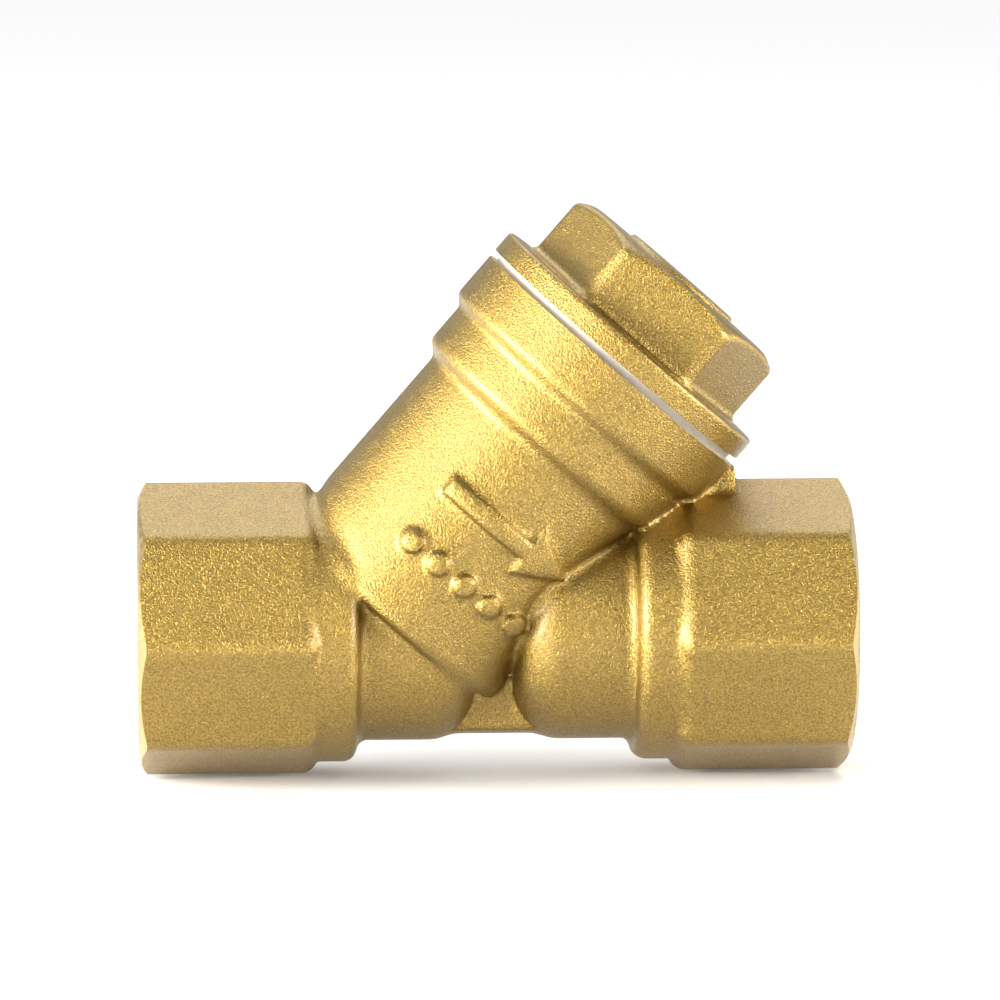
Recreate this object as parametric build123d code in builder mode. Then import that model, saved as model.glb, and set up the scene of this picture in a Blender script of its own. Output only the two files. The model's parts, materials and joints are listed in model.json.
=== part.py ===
"""Brass Y strainer, DN15 (G 1/2), rated PN16. Millimetres, +Z up.

The run lies along +X, which is the direction of flow. The origin is the centre of the inlet
port's face. The branch leans over the outlet in the XZ plane; "height" is a distance along
the branch's axis from the point where it crosses the run's axis.
"""

import os
from math import cos, pi, radians, sin, tan

from build123d import *

os.makedirs("parts", exist_ok=True)

# Run: octagonal ports, round collars and necks
run_length = 65.0
port_across_flats = 25.0
port_length = 16.3
port_corner_radius = 2.0
port_shoulder_radius = 1.45
port_chamfer_radius = 12.0  # where the lathe's chamfer meets the port's face
chamfer_angle = 30.0
collar_radius = 12.3
collar_draft = 0.1
collar_end = 18.3
neck_radius = 10.35
neck_start = 20.8
inlet_dome_end = 30.5
inlet_dome_radius = 4.0
outlet_dome_start = 34.0
outlet_dome_radius = 4.5

# Ports: smooth bores at the major diameter of the G 1/2 thread
port_thread_radius = 10.48
port_thread_depth = 13.0
port_countersink = 0.4
passage_radius = 7.5
inlet_passage_end = 27.0
outlet_passage_start = 38.5

# Branch
branch_angle = 49.0
branch_crossing = 22.0
branch_radius = 12.4
branch_foot_height = 1.8
branch_foot_edge = 0.5
waist_height = 21.8
shoulder_radius = 13.6
shoulder_low, shoulder_high = 23.8, 27.0
rim_radius = 14.5
rim_low = 28.6
mouth_height = 32.4

# Screw cap thread, M24 x 1.5: smooth walls stand for the thread
thread_pitch = 1.5
cap_thread_radius = 12.0  # the body's wall, at the thread's major radius
cap_core_radius = 10.7  # the plug's wall, at the thread's root
thread_low_height = 24.5
pilot_radius = 12.25
pilot_clearance = 0.05
pilot_depth = 1.2

# Screen chamber
chamber_radius = 10.0
seat_height = 4.3
seat_radius = 7.6
seat_bore_low = -3.0

# Rib between the two domes, under the branch
rib_half_width = 4.0
rib_half_length = 4.5
rib_bottom_radius = 9.8

# Web in the notch between the branch's rim and the outlet port
web_end = 54.5
web_length = 5.0
web_width = 5.0
web_top = 14.6

# Raised marks on the branch: a flow arrow and a row of plain dots
mark_relief = 0.7
mark_height = 14.9
dot_row_height = 8.9
arrow_tail, arrow_tip = -5.2, 9.0
arrow_shaft_width = 1.8
arrow_head_length, arrow_head_width = 4.8, 5.0
dot_radius = 1.05
dot_spacing = 3.1
dot_count = 5

# Gasket
gasket_thickness = 0.75
gasket_radius = 13.8
gasket_bore_radius = 12.35

# Cap
flange_radius = 14.55
flange_thickness = 2.1
flange_dome = 0.3
flange_edge = 0.35
hex_across_flats = 20.8
hex_corner_radius = 1.5
hex_top_height = 42.05
hex_chamfer_radius = 10.3
hex_turn = -4.4
pad_radius = 6.0
pad_thickness = 0.45
plug_low_height = 24.0
recess_radius = 9.6
recess_top_height = 27.5
relief_radius = 8.3
relief_top_height = 32.5

# Screen
screen_radius = 9.2
screen_sheet = 0.4
screen_ring_radius = 9.45
screen_ring_bore_radius = 8.45
screen_ring_length = 2.4
screen_ring_groove = 1.6
screen_top_height = 27.2
seam_width = 3.0
seam_thickness = 0.25
hole_radius = 0.55
hole_count = 24
hole_rows = 9

# Frames that follow from these
run_middle = run_length / 2
lean = radians(branch_angle)
branch_direction = (cos(lean), 0, sin(lean))
across_direction = (sin(lean), 0, -cos(lean))
branch_axis = Axis((branch_crossing, 0, 0), branch_direction)
branch_section = Plane((branch_crossing, 0, 0), x_dir=across_direction, z_dir=(0, -1, 0))
gasket_top_height = mouth_height + gasket_thickness
flange_top_height = gasket_top_height + flange_thickness


def branch_plane(height):
    """The plane square to the branch at a height, its Y along the row's +Y."""
    return Plane(
        (branch_crossing + height * cos(lean), 0, height * sin(lean)),
        x_dir=across_direction,
        z_dir=branch_direction,
    )


def radial_plane(height, turn):
    """The plane on the branch's axis at a height that faces outward at a turn about it."""
    return Plane(
        branch_plane(height).origin,
        x_dir=branch_direction,
        z_dir=(cos(turn) * sin(lean), sin(turn), -cos(turn) * cos(lean)),
    )


def branch_tube(outer, inner, low, high):
    """A ring or tube on the branch's axis."""
    with BuildPart() as tube:
        with BuildSketch(branch_plane(low)):
            Circle(outer)
            Circle(inner, mode=Mode.SUBTRACT)
        extrude(amount=high - low)
    return tube.part


# Ports: octagons with rounded corners, a rounded inner shoulder and a turned face chamfer
chamfer_run = (port_across_flats - port_chamfer_radius) * tan(radians(chamfer_angle))
with BuildPart() as port:
    with BuildSketch(Plane.YZ) as port_outline:
        RegularPolygon(port_across_flats / 2, 8, major_radius=False)
        fillet(port_outline.vertices(), port_corner_radius)
    extrude(amount=port_length)
    inner_face = port.faces().sort_by(Axis.X)[-1]
    fillet(inner_face.edges(), port_shoulder_radius)
    with BuildSketch(Plane.XZ):
        Polygon(
            (0, 0),
            (0, port_chamfer_radius),
            (chamfer_run, port_across_flats),
            (port_length, port_across_flats),
            (port_length, 0),
            align=None,
        )
    revolve(axis=Axis.X, mode=Mode.INTERSECT)

# Collar: a drafted round band that runs down to the neck in an S curve
with BuildPart() as collar:
    with BuildSketch(Plane.XZ):
        with BuildLine():
            Polyline(
                (neck_start, neck_radius),
                (neck_start, 0),
                (port_length - 1, 0),
                (port_length - 1, collar_radius),
                (collar_end, collar_radius - collar_draft),
            )
            slope_middle = (
                (collar_end + neck_start) / 2,
                (collar_radius - collar_draft + neck_radius) / 2,
            )
            TangentArc((collar_end, collar_radius - collar_draft), slope_middle, tangent=(1, 0))
            TangentArc((neck_start, neck_radius), slope_middle, tangent=(-1, 0))
        make_face()
    revolve(axis=Axis.X)

# Necks: round tubes of the run, each ending in a dome beside the rib
with BuildPart() as inlet_neck:
    with BuildSketch(Plane.XZ):
        with BuildLine():
            Polyline(
                (inlet_dome_end, neck_radius - inlet_dome_radius),
                (inlet_dome_end, 0),
                (port_length, 0),
                (port_length, neck_radius),
                (inlet_dome_end - inlet_dome_radius, neck_radius),
            )
            RadiusArc(
                (inlet_dome_end - inlet_dome_radius, neck_radius),
                (inlet_dome_end, neck_radius - inlet_dome_radius),
                inlet_dome_radius,
            )
        make_face()
    revolve(axis=Axis.X)

with BuildPart() as outlet_neck:
    with BuildSketch(Plane.XZ):
        with BuildLine():
            Polyline(
                (outlet_dome_start + outlet_dome_radius, neck_radius),
                (run_length - port_length, neck_radius),
                (run_length - port_length, 0),
                (outlet_dome_start, 0),
                (outlet_dome_start, neck_radius - outlet_dome_radius),
            )
            RadiusArc(
                (outlet_dome_start, neck_radius - outlet_dome_radius),
                (outlet_dome_start + outlet_dome_radius, neck_radius),
                outlet_dome_radius,
            )
        make_face()
    revolve(axis=Axis.X)

# Branch: three turned steps that widen towards the mouth, and a flat foot
with BuildPart() as branch:
    with BuildSketch(branch_section):
        with BuildLine():
            Polyline(
                (branch_radius - branch_foot_edge, branch_foot_height),
                (0, branch_foot_height),
                (0, mouth_height),
                (rim_radius, mouth_height),
                (rim_radius, rim_low),
            )
            Spline(
                (rim_radius, rim_low),
                (shoulder_radius, shoulder_high),
                tangents=((0, -1), (0, -1)),
            )
            Line((shoulder_radius, shoulder_high), (shoulder_radius - 0.1, shoulder_low))
            Spline(
                (shoulder_radius - 0.1, shoulder_low),
                (branch_radius + 0.1, waist_height),
                tangents=((0, -1), (0, -1)),
            )
            Line(
                (branch_radius + 0.1, waist_height),
                (branch_radius, branch_foot_height + branch_foot_edge),
            )
            RadiusArc(
                (branch_radius, branch_foot_height + branch_foot_edge),
                (branch_radius - branch_foot_edge, branch_foot_height),
                branch_foot_edge,
            )
        make_face()
    revolve(axis=branch_axis)

# Rib: a short web that joins the two domes under the branch
with BuildPart() as rib:
    with BuildSketch(Plane.YZ.offset(run_middle - rib_half_length)):
        Circle(rib_bottom_radius)
        with Locations((0, -rib_bottom_radius / 2 - 1)):
            Rectangle(2 * rib_half_width, rib_bottom_radius, mode=Mode.INTERSECT)
    extrude(amount=2 * rib_half_length)

# Web: fills the narrow notch under the branch's rim
with BuildPart() as web:
    with BuildSketch(Plane.XY.offset(neck_radius)):
        with Locations((web_end - web_length / 2, 0)):
            Rectangle(web_length, web_width)
    extrude(amount=web_top - neck_radius)

# Raised marks: the flow arrow stands on both sides of the branch, the dots on the front
with BuildPart() as marks:
    shaft_end = arrow_tip - arrow_head_length
    with BuildSketch(branch_section):
        Polygon(
            (arrow_tail, mark_height - arrow_shaft_width / 2),
            (shaft_end, mark_height - arrow_shaft_width / 2),
            (shaft_end, mark_height - arrow_head_width / 2),
            (arrow_tip, mark_height),
            (shaft_end, mark_height + arrow_head_width / 2),
            (shaft_end, mark_height + arrow_shaft_width / 2),
            (arrow_tail, mark_height + arrow_shaft_width / 2),
            align=None,
        )
    extrude(amount=rim_radius, both=True)
    dot_middle = (arrow_tail + arrow_tip) / 2
    with BuildSketch(branch_section):
        with Locations((dot_middle, dot_row_height)):
            with GridLocations(dot_spacing, dot_spacing, dot_count, 1):
                Circle(dot_radius)
    extrude(amount=rim_radius)
    with BuildSketch(branch_plane(branch_foot_height + branch_foot_edge)):
        Circle(branch_radius + mark_relief)
    extrude(amount=waist_height - branch_foot_height, mode=Mode.INTERSECT)

# Body: the forging, then its machined bores
with BuildPart() as body:
    add(port)
    add(collar)
    mirror(about=Plane.YZ.offset(run_middle))
    add(inlet_neck)
    add(outlet_neck)
    add(rib)
    add(web)
    add(branch)
    add(marks)

    # Threaded ports and passages, with the drill's cone at each inner end
    drill_cone = passage_radius / tan(radians(59))
    countersunk_radius = port_thread_radius + port_countersink
    with BuildSketch(Plane.XZ):
        Polygon(
            (0, 0),
            (0, countersunk_radius),
            (port_countersink, port_thread_radius),
            (port_thread_depth, port_thread_radius),
            (port_thread_depth + port_thread_radius - passage_radius, passage_radius),
            (inlet_passage_end - drill_cone, passage_radius),
            (inlet_passage_end, 0),
            align=None,
        )
        Polygon(
            (run_length, 0),
            (run_length, countersunk_radius),
            (run_length - port_countersink, port_thread_radius),
            (run_length - port_thread_depth, port_thread_radius),
            (run_length - port_thread_depth - port_thread_radius + passage_radius, passage_radius),
            (outlet_passage_start, passage_radius),
            (outlet_passage_start - drill_cone, 0),
            align=None,
        )
    revolve(axis=Axis.X, mode=Mode.SUBTRACT)

    # Mouth, thread, chamber and the seat around the inlet passage
    with BuildSketch(branch_section):
        Polygon(
            (0, seat_bore_low),
            (seat_radius, seat_bore_low),
            (seat_radius, seat_height),
            (chamber_radius, seat_height),
            (chamber_radius, thread_low_height - cap_thread_radius + chamber_radius),
            (cap_thread_radius, thread_low_height),
            (cap_thread_radius, mouth_height - pilot_depth),
            (pilot_radius + pilot_clearance, mouth_height - pilot_depth),
            (pilot_radius + pilot_clearance, mouth_height),
            (0, mouth_height),
            align=None,
        )
    revolve(axis=branch_axis, mode=Mode.SUBTRACT)
body.part.label = "body"
export_step(body.part, "parts/body.step")

# Gasket: a flat ring clamped between the mouth and the cap's flange
with BuildPart() as cap_gasket:
    add(branch_tube(gasket_radius, gasket_bore_radius, mouth_height, gasket_top_height))
cap_gasket.part.label = "cap_gasket"
export_step(cap_gasket.part, "parts/cap_gasket.step")

# Cap: hexagon, domed flange, pilot and hollow threaded plug
with BuildPart() as cap:
    with BuildSketch(branch_plane(flange_top_height - 0.2)) as hex_outline:
        RegularPolygon(hex_across_flats / 2, 6, major_radius=False, rotation=hex_turn)
        fillet(hex_outline.vertices(), hex_corner_radius)
    extrude(amount=hex_top_height - flange_top_height + 0.2)
    hex_chamfer_fall = (flange_radius - hex_chamfer_radius) * tan(radians(chamfer_angle))
    with BuildSketch(branch_section):
        Polygon(
            (0, flange_top_height - 0.2),
            (flange_radius, flange_top_height - 0.2),
            (flange_radius, hex_top_height - hex_chamfer_fall),
            (hex_chamfer_radius, hex_top_height),
            (0, hex_top_height),
            align=None,
        )
    revolve(axis=branch_axis, mode=Mode.INTERSECT)
    with BuildSketch(branch_section):
        with BuildLine():
            Polyline(
                (flange_radius, flange_top_height - flange_edge),
                (flange_radius, gasket_top_height),
                (pilot_radius, gasket_top_height),
                (pilot_radius, mouth_height - pilot_depth + 0.2),
                (cap_core_radius, mouth_height - pilot_depth + 0.2),
                (cap_core_radius, plug_low_height + 0.5),
                (cap_core_radius - 0.5, plug_low_height),
                (recess_radius, plug_low_height),
                (recess_radius, recess_top_height),
                (relief_radius, recess_top_height),
                (relief_radius, relief_top_height),
                (0, relief_top_height + 1.5),
                (0, flange_top_height + flange_dome),
                (hex_across_flats / 2, flange_top_height + flange_dome),
                (flange_radius - flange_edge, flange_top_height),
            )
            RadiusArc(
                (flange_radius - flange_edge, flange_top_height),
                (flange_radius, flange_top_height - flange_edge),
                flange_edge,
            )
        make_face()
    revolve(axis=branch_axis)
    with BuildSketch(branch_plane(hex_top_height)):
        Circle(pad_radius)
    extrude(amount=pad_thickness)
    pad_top = cap.faces().sort_by(branch_axis)[-1]
    fillet(pad_top.edges(), pad_thickness * 0.6)
cap.part.label = "cap"
export_step(cap.part, "parts/cap.step")

# Screen: a perforated sheet rolled into a cylinder, with a channel ring on each end
screen_low_height = seat_height
sheet_low = screen_low_height + screen_ring_length - screen_ring_groove
sheet_high = screen_top_height - screen_ring_length + screen_ring_groove
holes_low = screen_low_height + screen_ring_length
holes_high = screen_top_height - screen_ring_length
row_spacing = (holes_high - holes_low) / hole_rows
with BuildPart() as screen_mesh:
    add(branch_tube(screen_radius, screen_radius - screen_sheet, sheet_low, sheet_high))
    for row in range(hole_rows):
        height = holes_low + (row + 0.5) * row_spacing
        turns = [(spoke + 0.25 + 0.5 * (row % 2)) * 2 * pi / hole_count for spoke in range(hole_count // 2)]
        with BuildSketch(*[radial_plane(height, turn) for turn in turns]):
            Circle(hole_radius)
        extrude(amount=screen_ring_radius, both=True, mode=Mode.SUBTRACT)
screen_mesh.part.label = "screen_mesh"
export_step(screen_mesh.part, "parts/screen_mesh.step")


def screen_ring(low, groove_low):
    """A ring of channel section that holds one end of the rolled sheet in its groove."""
    with BuildPart() as ring:
        add(branch_tube(screen_ring_radius, screen_ring_bore_radius, low, low + screen_ring_length))
        groove = branch_tube(
            screen_radius, screen_radius - screen_sheet, groove_low, groove_low + screen_ring_groove
        )
        add(groove, mode=Mode.SUBTRACT)
    return ring


screen_bottom_ring = screen_ring(screen_low_height, sheet_low)
screen_bottom_ring.part.label = "screen_bottom_ring"
export_step(screen_bottom_ring.part, "parts/screen_bottom_ring.step")

screen_top_ring = screen_ring(screen_top_height - screen_ring_length, holes_high)
screen_top_ring.part.label = "screen_top_ring"
export_step(screen_top_ring.part, "parts/screen_top_ring.step")

# Seam strip: covers the joint of the rolled sheet, between the two rings
with BuildPart() as screen_seam_strip:
    add(branch_tube(screen_radius + seam_thickness, screen_radius, holes_low, holes_high))
    with BuildSketch(branch_plane(holes_low)):
        with Locations((-screen_radius, 0)):
            Rectangle(screen_radius, seam_width)
    extrude(amount=holes_high - holes_low, mode=Mode.INTERSECT)
screen_seam_strip.part.label = "screen_seam_strip"
export_step(screen_seam_strip.part, "parts/screen_seam_strip.step")

print("screen withdraws", round(mouth_height - seat_height, 1), "mm to clear the mouth")
print("cap lifts", thread_pitch, "mm a turn,", round(thread_pitch / (2 * pi), 5), "mm a radian")
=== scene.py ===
"""Looks of a forged brass Y strainer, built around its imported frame.

The body and the cap are shaped as a forge shapes them, as one smooth distance field each, and
are then machined: faced, bored, chamfered and threaded. Lengths here are millimetres, and each
finished mesh is scaled to metres. A "height" is a distance along the branch from the run's axis.
"""

import json
from math import cos, pi, radians, sin, tan

import bpy
import numpy as np
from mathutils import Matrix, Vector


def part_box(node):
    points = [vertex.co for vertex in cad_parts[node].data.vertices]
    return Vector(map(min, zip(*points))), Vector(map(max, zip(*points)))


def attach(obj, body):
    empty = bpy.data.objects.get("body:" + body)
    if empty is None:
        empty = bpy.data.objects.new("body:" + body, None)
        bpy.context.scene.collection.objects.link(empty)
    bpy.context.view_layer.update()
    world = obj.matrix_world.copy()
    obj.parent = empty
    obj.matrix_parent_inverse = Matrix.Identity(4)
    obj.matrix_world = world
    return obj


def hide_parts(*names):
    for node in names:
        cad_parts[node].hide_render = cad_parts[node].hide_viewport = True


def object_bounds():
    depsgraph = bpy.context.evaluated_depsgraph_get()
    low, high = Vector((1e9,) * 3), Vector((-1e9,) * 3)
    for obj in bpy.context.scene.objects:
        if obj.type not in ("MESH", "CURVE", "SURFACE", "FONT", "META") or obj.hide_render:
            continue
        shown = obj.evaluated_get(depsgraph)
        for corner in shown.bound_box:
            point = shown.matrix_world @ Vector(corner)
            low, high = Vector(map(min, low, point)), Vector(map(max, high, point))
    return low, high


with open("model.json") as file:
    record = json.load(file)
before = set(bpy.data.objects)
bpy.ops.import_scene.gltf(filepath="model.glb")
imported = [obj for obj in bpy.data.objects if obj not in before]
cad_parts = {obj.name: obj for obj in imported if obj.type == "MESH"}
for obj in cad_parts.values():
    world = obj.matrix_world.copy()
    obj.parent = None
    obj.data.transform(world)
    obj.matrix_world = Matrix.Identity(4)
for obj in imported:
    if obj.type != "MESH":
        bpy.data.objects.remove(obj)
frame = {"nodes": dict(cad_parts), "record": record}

import openvdb
from mathutils import Vector

cad_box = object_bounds()
MM = 0.001

# From the frame: the run's length, and the branch's axis from the cap's screw joint
joints = {joint["name"]: joint for joint in frame["record"]["behaviour"]["joints"]}
branch_direction = np.array(joints["cap_turn"]["axis"])
gasket_top = joints["cap_turn"]["pos_m"][2] / branch_direction[2] / MM
branch_crossing = joints["cap_turn"]["pos_m"][0] / MM - gasket_top * branch_direction[0]
run_length = (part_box("body")[1][0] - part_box("body")[0][0]) / MM

ALONG_RUN = (np.zeros(3), np.array((0.0, 1.0, 0.0)), np.array((0.0, 0.0, 1.0)), np.array((1.0, 0.0, 0.0)))
ALONG_BRANCH = (
    np.array((branch_crossing, 0.0, 0.0)),
    np.array((branch_direction[2], 0.0, -branch_direction[0])),
    np.array((0.0, 1.0, 0.0)),
    branch_direction,
)

# Run
across_flats = 25.0
port_length = 16.3
port_corner = 2.0
port_shoulder = 1.45
face_chamfer_radius = 12.0
chamfer_slope = tan(radians(30))
collar_radius = 12.25
collar_end = 19.9
collar_edge = 1.3
neck_radius = 10.33
inlet_dome_end, inlet_dome = 30.5, 4.0
outlet_dome_start, outlet_dome = 34.0, 4.5
port_thread_radius = 10.48
port_thread_pitch, port_thread_ridge = 1.814, 1.16
passage_radius = 7.5
thread_start, thread_end, socket_depth, countersink = 0.45, 12.4, 13.0, 0.45
inlet_drill_tip, outlet_drill_tip = 27.0, 31.0

# Branch
branch_radius = 12.4
foot_height = 1.8
shoulder_radius, shoulder_low = 13.6, 22.7
rim_radius, rim_low = 14.5, 27.6
gasket_thickness = 0.75
mouth_height = gasket_top - gasket_thickness
cap_thread_radius = 12.0
cap_thread_pitch, cap_thread_ridge = 1.5, 0.6
plug_thread_root = 10.7
pilot_radius, pilot_depth = 12.25, 1.2
chamber_radius, seat_height, seat_radius = 10.0, 4.3, 7.6
cap_thread_low, cap_thread_high = 24.5, 31.0
groove_depth, groove_width = 0.28, 0.9

# Line where the two forging dies met
parting_height, parting_width = 0.1, 0.45

# Rib, web under the rim, and raised marks
web_start, web_end, web_half_width, web_top = 49.5, 54.5, 2.5, 14.6
rib_half_width, rib_half_length, rib_bottom_radius = 4.0, 4.5, 9.8
mark_relief = 0.7
arrow_height, arrow_tail, arrow_tip = 14.9, -5.2, 9.0
arrow_shaft, arrow_head_length, arrow_head_width = 1.8, 4.8, 5.0
dot_height, dot_radius, dot_spacing, dot_count = 8.9, 1.05, 3.1, 5

# Cap
flange_radius, flange_thickness = 14.55, 2.1
hex_across_flats, hex_corner, hex_top = 20.8, 1.5, 42.05
hex_chamfer_radius, hex_turn = 10.3, radians(-4.4)
pad_radius, pad_thickness = 6.0, 0.45
plug_low, recess_radius, recess_top = 24.0, 9.6, 27.5
relief_radius, relief_top = 8.3, 32.5

VOXEL = 0.34
CAP_VOXEL = 0.25

# A face deeper than this inside the forging has been cut
cut_depth = 0.1


# Distance fields: each takes coordinates in millimetres and is negative inside the metal


def join(a, b, radius):
    """The union of two fields with a round fillet where they meet."""
    corner = np.hypot(np.maximum(radius - a, 0), np.maximum(radius - b, 0))
    return np.maximum(radius, np.minimum(a, b)) - corner


def meet(a, b, radius):
    """The intersection of two fields with a rounded edge."""
    corner = np.hypot(np.maximum(radius + a, 0), np.maximum(radius + b, 0))
    return np.minimum(-radius, np.maximum(a, b)) + corner


def rounded_cylinder(rho, t, radius, low, high, edge):
    """A cylinder from low to high on its axis, its edges rounded."""
    dr = rho - radius + edge
    dt = np.abs(t - (low + high) / 2) - (high - low) / 2 + edge
    return np.hypot(np.maximum(dr, 0), np.maximum(dt, 0)) + np.minimum(np.maximum(dr, dt), 0) - edge


def rounded_polygon(u, v, sides, across, corner, first_flat):
    """A regular polygon across flats, with rounded corners; first_flat is a flat's angle."""
    step = 2 * pi / sides
    angle = np.mod(np.arctan2(v, u) - first_flat + step / 2, step) - step / 2
    rho = np.hypot(u, v)
    beyond = rho * np.cos(angle) - across / 2 + corner
    aside = np.abs(rho * np.sin(angle)) - (across / 2 - corner) * tan(step / 2)
    return np.where(beyond > 0, np.hypot(beyond, np.maximum(aside, 0)), beyond) - corner


def octagon_port(x, y, z):
    """The inlet's octagon, with its inner shoulder rounded; it runs past the port's face."""
    outline = rounded_polygon(y, z, 8, across_flats, port_corner, pi / 8)
    return meet(outline, x - port_length, port_shoulder)


def outline_on_branch(across, height):
    """The flat outline of the arrow, in the branch's own coordinates."""
    shaft_end = arrow_tip - arrow_head_length
    along_shaft = np.maximum(arrow_tail - across, across - shaft_end - 1)
    shaft = np.maximum(np.abs(height) - arrow_shaft / 2, along_shaft)
    flank = np.array((arrow_head_length, arrow_head_width / 2))
    normal = np.array((flank[1], flank[0])) / np.hypot(*flank)
    head = (across - arrow_tip) * normal[0] + np.abs(height) * normal[1]
    return np.minimum(shaft, np.maximum(head, shaft_end - across))


def body_field(x, y, z):
    """The forging before it is machined."""
    across = (x - branch_crossing) * ALONG_BRANCH[1][0] + z * ALONG_BRANCH[1][2]
    height = (x - branch_crossing) * branch_direction[0] + z * branch_direction[2]
    rho_run, rho_branch = np.hypot(y, z), np.hypot(across, y)

    ports = np.minimum(octagon_port(x, y, z), octagon_port(run_length - x, y, z))
    collars = np.minimum(
        rounded_cylinder(rho_run, x, collar_radius, 5, collar_end, collar_edge),
        rounded_cylinder(rho_run, x, collar_radius, run_length - collar_end, run_length - 5, collar_edge),
    )
    necks = np.minimum(
        rounded_cylinder(rho_run, x, neck_radius, 5, inlet_dome_end, inlet_dome),
        rounded_cylinder(rho_run, x, neck_radius, outlet_dome_start, run_length - 5, outlet_dome),
    )
    rib = np.maximum(np.abs(y) - rib_half_width, np.abs(x - run_length / 2) - rib_half_length)
    rib = np.maximum(meet(rib, rho_run - rib_bottom_radius, 0.3), z + 1)

    web = np.abs(x - (web_start + web_end) / 2) - (web_end - web_start) / 2
    web = np.maximum(web, np.abs(y) - web_half_width)
    web = np.maximum(web, np.maximum(z - web_top, neck_radius - z))

    branch = rounded_cylinder(rho_branch, height, branch_radius, foot_height, mouth_height, 1.0)
    branch = join(branch, rounded_cylinder(rho_branch, height, shoulder_radius, shoulder_low, 40, 1.0), 1.0)
    branch = join(branch, rounded_cylinder(rho_branch, height, rim_radius, rim_low, 40, 0.8), 0.8)

    relief = rho_branch - branch_radius - mark_relief
    arrow = outline_on_branch(across, height - arrow_height)
    from_middle = across - (arrow_tail + arrow_tip) / 2
    dots = np.clip(np.round(from_middle / dot_spacing), -dot_count // 2 + 1, dot_count // 2)
    dot = np.hypot(from_middle - dots * dot_spacing, height - dot_height) - dot_radius
    dot = np.where(y < 0, dot, 5.0)
    marks = meet(np.minimum(arrow, dot), relief, 0.45)
    marks = np.maximum(marks, 10 - rho_branch)

    run = join(join(necks, collars, 1.0), ports, 0.4)
    groove = groove_depth * np.exp(-(((run - branch) / groove_width) ** 2))
    groove *= np.clip(height - foot_height - 1.5, 0, 1)
    metal = join(run, branch, 0.75) + groove
    metal = join(metal, rib, 0.35)
    metal = join(metal, web, 0.5)
    metal = join(metal, marks, 0.45)
    parting = parting_height * np.exp(-((y / parting_width) ** 2))
    return metal - parting


def cap_field(x, y, z):
    """The cap's hexagon, flange and pad; it runs past the flange's seat."""
    across = (x - branch_crossing) * ALONG_BRANCH[1][0] + z * ALONG_BRANCH[1][2]
    height = (x - branch_crossing) * branch_direction[0] + z * branch_direction[2]
    rho = np.hypot(across, y)
    flange_top = gasket_top + flange_thickness
    hexagon = rounded_polygon(across, y, 6, hex_across_flats, hex_corner, hex_turn + pi / 6)
    cone = (height - hex_top + (rho - hex_chamfer_radius) * chamfer_slope) * cos(radians(30))
    top = meet(cone, height - hex_top, 0.3)
    head = meet(hexagon, top, 0.35)
    flange = rounded_cylinder(rho, height, flange_radius, gasket_top - 3, flange_top, 0.35)
    below = gasket_top - 2 - height
    dome = np.maximum(rho - hex_across_flats / 2 - 1.5, height - flange_top - 0.15)
    flange = join(flange, np.maximum(dome, below), 0.5)
    metal = join(np.maximum(head, below), flange, 0.7)
    pad = rounded_cylinder(rho, height, pad_radius, hex_top - 3, hex_top + pad_thickness, 0.3)
    return join(metal, pad, 0.3)


# Meshes


def new_object(name, vertices, faces):
    """A mesh object from points in millimetres."""
    mesh = bpy.data.meshes.new(name)
    mesh.from_pydata((np.asarray(vertices) * MM).tolist(), [], faces)
    mesh.validate()
    thing = bpy.data.objects.new(name, mesh)
    bpy.context.scene.collection.objects.link(thing)
    return thing


def cast(name, field, low, high, voxel):
    """The surface of a distance field inside a box, as a closed mesh of quads."""
    low, high = np.array(low, float), np.array(high, float)
    counts = np.ceil((high - low) / voxel).astype(int) + 1
    axes = [low[i] + voxel * np.arange(counts[i]) for i in range(3)]
    values = field(*np.meshgrid(*axes, indexing="ij"))
    grid = openvdb.FloatGrid(4 * voxel)
    grid.copyFromArray(np.clip(values, -4 * voxel, 4 * voxel).astype(np.float32))
    points, triangles, quads = grid.convertToPolygons(isovalue=0.0, adaptivity=0.0)
    points = low + points.astype(float) * voxel
    nudge = voxel / 4
    for _ in range(2):
        here = field(*points.T)
        slope = np.stack([field(*(points + nudge * unit).T) - here for unit in np.eye(3)], axis=1) / nudge
        steep = np.maximum((slope**2).sum(axis=1, keepdims=True), 0.25)
        points = points - np.clip(here[:, None], -voxel / 2, voxel / 2) * slope / steep
    faces = [tuple(face[::-1]) for face in quads.tolist() + triangles.tolist()]
    return new_object(name, points, faces)


def thread_ridge(turn, height):
    """The height of a thread's ridge, from 0 at its root to 1 at its crest, at a phase in turns."""
    wave = np.abs(2 * np.mod(turn, 1) - 1)
    wave = np.clip((wave - 0.5) * 1.25 + 0.5, 0, 1)
    return height * wave * wave * (3 - 2 * wave)


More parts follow.
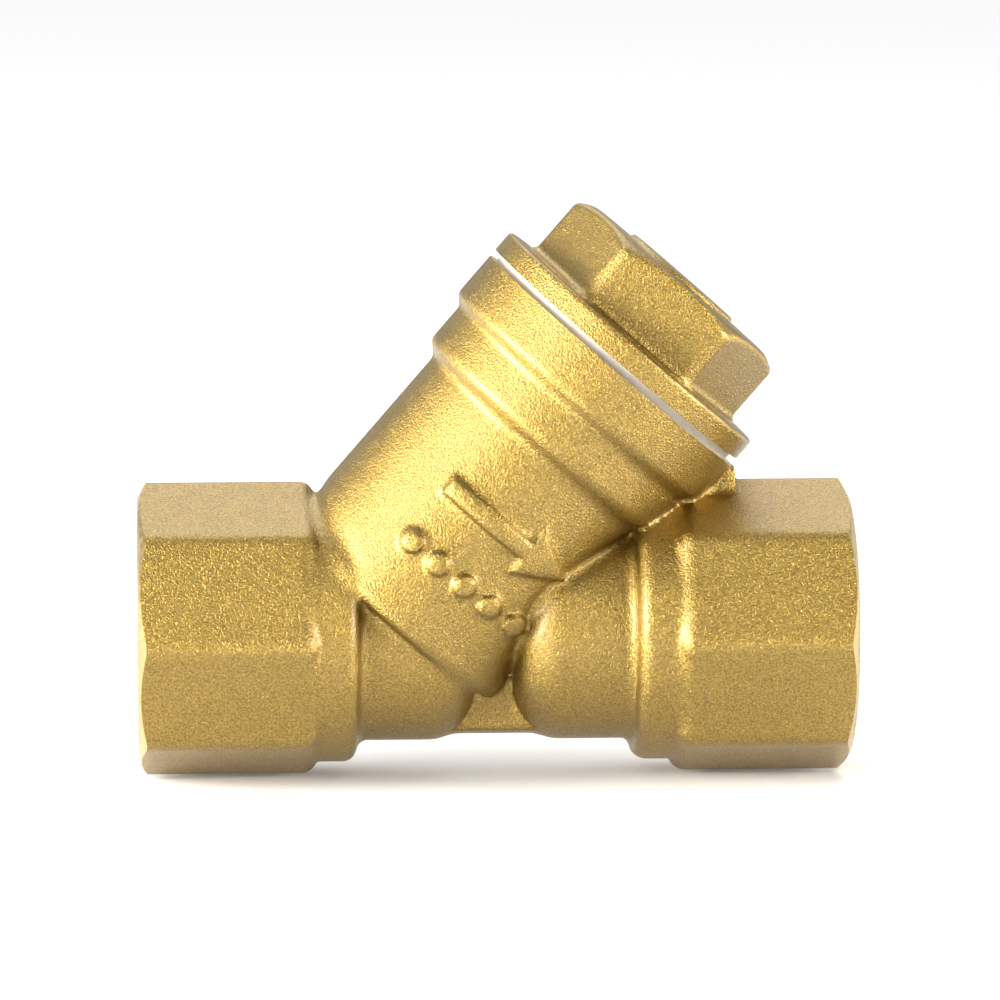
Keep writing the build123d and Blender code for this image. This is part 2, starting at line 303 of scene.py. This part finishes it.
def lathe(name, axis, profile, segments, thread=None):
    """A closed solid turned about an axis. profile is (along, radius) from end to end.

    thread is (low, high, pitch, ridge, phase): between low and high, a helical ridge grows inward
    for a negative ridge and outward for a positive one, fading out over half a turn at each end.
    """
    origin, first, second, along = axis
    rings = [profile[0]]
    for (t0, r0), (t1, r1) in zip(profile, profile[1:]):
        inside_thread = thread and t0 >= thread[0] - 1e-9 and t1 <= thread[1] + 1e-9
        steps = max(1, int((t1 - t0) / thread[2] * 14)) if inside_thread else 1
        rings += [(t0 + (t1 - t0) * i / steps, r0 + (r1 - r0) * i / steps) for i in range(1, steps + 1)]
    angles = 2 * pi * np.arange(segments) / segments
    points = []
    for t, r in rings:
        radius = np.full(segments, float(r))
        if thread and thread[0] <= t <= thread[1]:
            low, high, pitch, ridge, phase = thread
            fade = np.clip(min(t - low, high - t) / (pitch / 2), 0, 1)
            radius += fade * np.sign(ridge) * thread_ridge(t / pitch - angles / (2 * pi) + phase, abs(ridge))
        points.append(
            origin
            + t * along
            + radius[:, None] * (np.cos(angles)[:, None] * first + np.sin(angles)[:, None] * second)
        )
    vertices = np.concatenate(points + [[origin + rings[0][0] * along], [origin + rings[-1][0] * along]])
    faces = []
    for ring in range(len(rings) - 1):
        for i in range(segments):
            j = (i + 1) % segments
            here, above = ring * segments, (ring + 1) * segments
            faces.append((here + i, here + j, above + j, above + i))
    bottom, top, last = len(vertices) - 2, len(vertices) - 1, (len(rings) - 1) * segments
    for i in range(segments):
        j = (i + 1) % segments
        faces.append((bottom, j, i))
        faces.append((top, last + i, last + j))
    return new_object(name, vertices, faces)


def combine(piece, tool, operation):
    """Applies one boolean to a piece and removes the tool."""
    modifier = piece.modifiers.new("machining", "BOOLEAN")
    modifier.operation = operation
    modifier.solver = "MANIFOLD"
    modifier.object = tool
    graph = bpy.context.evaluated_depsgraph_get()
    mesh = bpy.data.meshes.new_from_object(piece.evaluated_get(graph))
    piece.modifiers.clear()
    piece.data = mesh
    bpy.data.objects.remove(tool)


def finish_surface(piece, field, forged, machined, smooth_angle=35):
    """Gives cut faces the machined finish and the rest the forged one, and sets the edges."""
    mesh = piece.data
    mesh.materials.clear()
    mesh.materials.append(forged)
    mesh.materials.append(machined)
    centres = np.empty(3 * len(mesh.polygons))
    mesh.polygons.foreach_get("center", centres)
    depth = field(*(centres.reshape(-1, 3) / MM).T)
    mesh.polygons.foreach_set("material_index", (depth < -cut_depth).astype(np.int32))
    mesh.polygons.foreach_set("use_smooth", np.ones(len(mesh.polygons), bool))
    mesh.set_sharp_from_angle(angle=radians(smooth_angle))
    mesh.update()


# Materials


def material(name):
    """An empty node material, with its Principled shader and its object coordinates for texture nodes."""
    made = bpy.data.materials.new(name)
    made.use_nodes = True
    tree = made.node_tree
    shader = tree.nodes["Principled BSDF"]
    place = tree.nodes.new("ShaderNodeTexCoord").outputs["Object"]
    return made, tree, shader, place


def noise(tree, place, scale, detail=2.0, roughness=0.5):
    node = tree.nodes.new("ShaderNodeTexNoise")
    node.inputs["Scale"].default_value = scale
    node.inputs["Detail"].default_value = detail
    node.inputs["Roughness"].default_value = roughness
    tree.links.new(place, node.inputs["Vector"])
    return node.outputs["Fac"]


def remap(tree, value, low, high, to_low, to_high):
    node = tree.nodes.new("ShaderNodeMapRange")
    node.inputs["From Min"].default_value = low
    node.inputs["From Max"].default_value = high
    node.inputs["To Min"].default_value = to_low
    node.inputs["To Max"].default_value = to_high
    tree.links.new(value, node.inputs["Value"])
    return node.outputs["Result"]


def colour_ramp(tree, value, stops):
    node = tree.nodes.new("ShaderNodeValToRGB")
    ramp = node.color_ramp
    while len(ramp.elements) < len(stops):
        ramp.elements.new(0.5)
    for element, (position, colour) in zip(ramp.elements, stops):
        element.position = position
        element.color = (*colour, 1)
    tree.links.new(value, node.inputs["Fac"])
    return node.outputs["Color"]


def bump(tree, height, strength, distance, normal=None):
    node = tree.nodes.new("ShaderNodeBump")
    node.inputs["Strength"].default_value = strength
    node.inputs["Distance"].default_value = distance
    tree.links.new(height, node.inputs["Height"])
    if normal is not None:
        tree.links.new(normal, node.inputs["Normal"])
    return node.outputs["Normal"]


def blasted_brass(name, dark, light):
    """Forged brass after sand blasting: a satin metal with a fine sparkling grain."""
    made, tree, shader, place = material(name)
    shader.inputs["Metallic"].default_value = 1.0
    shader.inputs["Coat Weight"].default_value = 0.28
    shader.inputs["Coat IOR"].default_value = 1.7
    shader.inputs["Coat Roughness"].default_value = 0.3
    grain = noise(tree, place, 5800, 2.0, 0.6)
    patches = noise(tree, place, 160, 3.0, 0.5)
    tree.links.new(colour_ramp(tree, grain, [(0.34, dark), (0.66, light)]), shader.inputs["Base Color"])
    tree.links.new(remap(tree, grain, 0.3, 0.7, 0.4, 0.26), shader.inputs["Roughness"])
    soft = bump(tree, patches, 0.3, 0.0004)
    tree.links.new(bump(tree, grain, 0.9, 0.00015, soft), shader.inputs["Normal"])
    return made


def machined_brass(name):
    """Turned brass: brighter and smoother, with fine tool marks."""
    made, tree, shader, place = material(name)
    shader.inputs["Metallic"].default_value = 1.0
    marks = noise(tree, place, 1800, 3.0, 0.6)
    tree.links.new(
        colour_ramp(tree, marks, [(0.3, (0.56, 0.38, 0.13)), (0.7, (0.66, 0.47, 0.19))]),
        shader.inputs["Base Color"],
    )
    tree.links.new(remap(tree, marks, 0.3, 0.7, 0.22, 0.34), shader.inputs["Roughness"])
    tree.links.new(bump(tree, marks, 0.25, 0.00003), shader.inputs["Normal"])
    return made


def shaded_gasket_plastic(name):
    """PTFE with a faint mottle, its off-white darkened to a mid grey as painted shade for the gap between
    the body and the cap.
    """
    made, tree, shader, place = material(name)
    mottle = noise(tree, place, 900, 3.0, 0.6)
    # The grey stops are off-white PTFE darkened as painted shade for the gap under the cap; the mottle
    # between them is random.
    tree.links.new(
        colour_ramp(tree, mottle, [(0.3, (0.38, 0.37, 0.35)), (0.7, (0.46, 0.45, 0.43))]),
        shader.inputs["Base Color"],
    )
    tree.links.new(remap(tree, mottle, 0.3, 0.7, 0.5, 0.62), shader.inputs["Roughness"])
    tree.links.new(bump(tree, mottle, 0.2, 0.00005), shader.inputs["Normal"])
    return made


def screen_steel(name):
    """Plain stainless sheet."""
    made, tree, shader, place = material(name)
    shader.inputs["Metallic"].default_value = 1.0
    streaks = noise(tree, place, 1200, 3.0, 0.6)
    tree.links.new(
        colour_ramp(tree, streaks, [(0.3, (0.4, 0.4, 0.39)), (0.7, (0.46, 0.46, 0.45))]),
        shader.inputs["Base Color"],
    )
    tree.links.new(remap(tree, streaks, 0.3, 0.7, 0.28, 0.4), shader.inputs["Roughness"])
    tree.links.new(bump(tree, streaks, 0.2, 0.00003), shader.inputs["Normal"])
    return made


def floor_paint(name):
    made, tree, shader, place = material(name)
    shade = noise(tree, place, 3, 2.0)
    tree.links.new(
        colour_ramp(tree, shade, [(0.0, (0.86, 0.86, 0.86)), (1.0, (0.89, 0.89, 0.89))]),
        shader.inputs["Base Color"],
    )
    shader.inputs["Roughness"].default_value = 0.9
    return made


forged_brass = blasted_brass("forged_brass", (0.18, 0.113, 0.022), (0.39, 0.262, 0.062))
turned_brass = machined_brass("turned_brass")
ptfe = shaded_gasket_plastic("ptfe")
stainless = screen_steel("stainless")


# Pieces


def make_body():
    """Forges, faces, bores and threads the body."""
    body = cast("body_forging", body_field, (-1.2, -16.5, -15), (run_length + 1.2, 16.5, 36), VOXEL)
    for end, direction in ((0, 1), (run_length, -1)):
        axis = (np.array((end, 0.0, 0.0)), ALONG_RUN[1] * direction, ALONG_RUN[2], ALONG_RUN[3] * direction)
        far = 20.0
        facing = [(-3, far), ((far - face_chamfer_radius) * chamfer_slope, far), (0, face_chamfer_radius)]
        combine(body, lathe("facing", axis, facing, 192), "DIFFERENCE")
        drill_tip = inlet_drill_tip if end == 0 else outlet_drill_tip
        socket = [
            (-2, port_thread_radius + countersink),
            (0, port_thread_radius + countersink),
            (thread_start, port_thread_radius),
            (thread_end, port_thread_radius),
            (socket_depth, port_thread_radius),
            (socket_depth + port_thread_radius - passage_radius, passage_radius),
            (drill_tip - passage_radius / tan(radians(59)), passage_radius),
            (drill_tip, 0.01),
        ]
        thread = (thread_start, thread_end, port_thread_pitch, -port_thread_ridge, 0.0)
        combine(body, lathe("socket", axis, socket, 128, thread), "DIFFERENCE")
    facing = [(mouth_height, rim_radius + 0.6), (mouth_height + 8, rim_radius + 0.6)]
    combine(body, lathe("mouth_facing", ALONG_BRANCH, facing, 96), "DIFFERENCE")
    counterbore = pilot_radius + 0.05
    chamber = [
        (-3, seat_radius),
        (seat_height, seat_radius),
        (seat_height, chamber_radius),
        (cap_thread_low - cap_thread_radius + chamber_radius, chamber_radius),
        (cap_thread_low, cap_thread_radius),
        (cap_thread_high, cap_thread_radius),
        (mouth_height - pilot_depth, cap_thread_radius),
        (mouth_height - pilot_depth, counterbore),
        (mouth_height - 0.2, counterbore),
        (mouth_height + 0.1, counterbore + 0.3),
    ]
    thread = (cap_thread_low, cap_thread_high, cap_thread_pitch, -cap_thread_ridge, 0.0)
    combine(body, lathe("chamber", ALONG_BRANCH, chamber, 128, thread), "DIFFERENCE")
    finish_surface(body, body_field, forged_brass, turned_brass)
    return body


def make_cap():
    """Forges the cap's head, adds its threaded plug and bores it out."""
    centre = ALONG_BRANCH[0] + 37 * branch_direction
    reach = np.array((15.2, 15.2, 15.2))
    cap = cast("cap_head", cap_field, centre - reach, centre + reach, CAP_VOXEL)
    facing = [(gasket_top - 12, 20), (gasket_top, 20)]
    combine(cap, lathe("seat_facing", ALONG_BRANCH, facing, 96), "DIFFERENCE")
    plug = [
        (plug_low, plug_thread_root - 0.5),
        (plug_low + 0.5, plug_thread_root),
        (31.2, plug_thread_root),
        (31.4, plug_thread_root),
        (31.4, pilot_radius),
        (gasket_top + 0.6, pilot_radius),
    ]
    thread = (plug_low + 0.5, 31.2, cap_thread_pitch, cap_thread_ridge, 0.5)
    combine(cap, lathe("plug", ALONG_BRANCH, plug, 128, thread), "UNION")
    hollow = [
        (plug_low - 1, recess_radius + 0.2),
        (plug_low + 0.2, recess_radius),
        (recess_top, recess_radius),
        (recess_top, relief_radius),
        (relief_top, relief_radius),
        (relief_top + 1.5, 0.01),
    ]
    combine(cap, lathe("hollow", ALONG_BRANCH, hollow, 128), "DIFFERENCE")
    finish_surface(cap, cap_field, forged_brass, turned_brass)
    return cap


body = make_body()
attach(body, "body")
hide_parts("body")

cap = make_cap()
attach(cap, "cap")
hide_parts("cap")

for node, look in (
    ("cap_gasket", ptfe),
    ("screen_mesh", stainless),
    ("screen_top_ring", stainless),
    ("screen_bottom_ring", stainless),
    ("screen_seam_strip", stainless),
):
    thing = frame["nodes"][node]
    thing.data.materials.clear()
    thing.data.materials.append(look)


# Stage, light and camera


def area_light(name, place, aim, size, power):
    """A rectangular softbox turned towards a point."""
    data = bpy.data.lights.new(name, "AREA")
    data.shape = "RECTANGLE"
    data.size, data.size_y = size
    data.energy = power
    light = bpy.data.objects.new(name, data)
    light.location = place
    light.rotation_euler = (Vector(aim) - Vector(place)).to_track_quat("-Z", "Y").to_euler()
    bpy.context.scene.collection.objects.link(light)


def make_stage():
    """A large pale floor just under the part."""
    low = cad_box[0][2] - 0.0005
    half = 6.0
    corners = [(-half, -half, low), (half, -half, low), (half, half, low), (-half, half, low)]
    mesh = bpy.data.meshes.new("floor")
    mesh.from_pydata(corners, [], [(0, 1, 2, 3)])
    floor_object = bpy.data.objects.new("floor", mesh)
    mesh.materials.append(floor_paint("floor_paint"))
    bpy.context.scene.collection.objects.link(floor_object)


def make_camera(azimuth, elevation, roll, distance, focal, aim):
    """A long lens at an azimuth and elevation, turned a little about its own axis."""
    data = bpy.data.cameras.new("camera")
    data.sensor_width = 36
    data.lens = focal
    data.clip_end = 20
    camera = bpy.data.objects.new("camera", data)
    azimuth, elevation = radians(azimuth), radians(elevation)
    back = Vector((sin(azimuth) * cos(elevation), -cos(azimuth) * cos(elevation), sin(elevation)))
    camera.location = Vector(aim) + back * distance
    camera.rotation_euler = back.to_track_quat("Z", "Y").to_euler()
    camera.rotation_euler.rotate_axis("Z", radians(roll))
    bpy.context.scene.collection.objects.link(camera)
    bpy.context.scene.camera = camera


def make_light():
    """A pale room, a broad soft sun from above and behind, two softboxes left and one right."""
    world = bpy.data.worlds.new("studio")
    world.use_nodes = True
    world.node_tree.nodes["Background"].inputs["Color"].default_value = (1, 1, 1, 1)
    world.node_tree.nodes["Background"].inputs["Strength"].default_value = 0.55
    bpy.context.scene.world = world
    bpy.context.scene.view_settings.view_transform = "Standard"

    sun = bpy.data.lights.new("sun", "SUN")
    sun.energy = 1.75
    sun.angle = radians(50)
    sun_object = bpy.data.objects.new("sun", sun)
    sun_object.rotation_euler = Vector((0.05, 0.55, 0.83)).to_track_quat("Z", "Y").to_euler()
    bpy.context.scene.collection.objects.link(sun_object)

    centre = (0.03, 0, 0.01)
    area_light("left", (-0.6, -0.34, 0.16), centre, (0.9, 0.8), 8)
    area_light("low_left", (-0.6, -0.2, 0.06), centre, (0.6, 0.4), 21)
    area_light("low_right", (0.64, -0.16, 0.04), centre, (0.5, 0.3), 10)


make_stage()
make_light()
make_camera(-3.2, 7.293, 0.0, 0.6002, 236.5, (0.03315, 0, 0.01164))

bpy.context.view_layer.update()
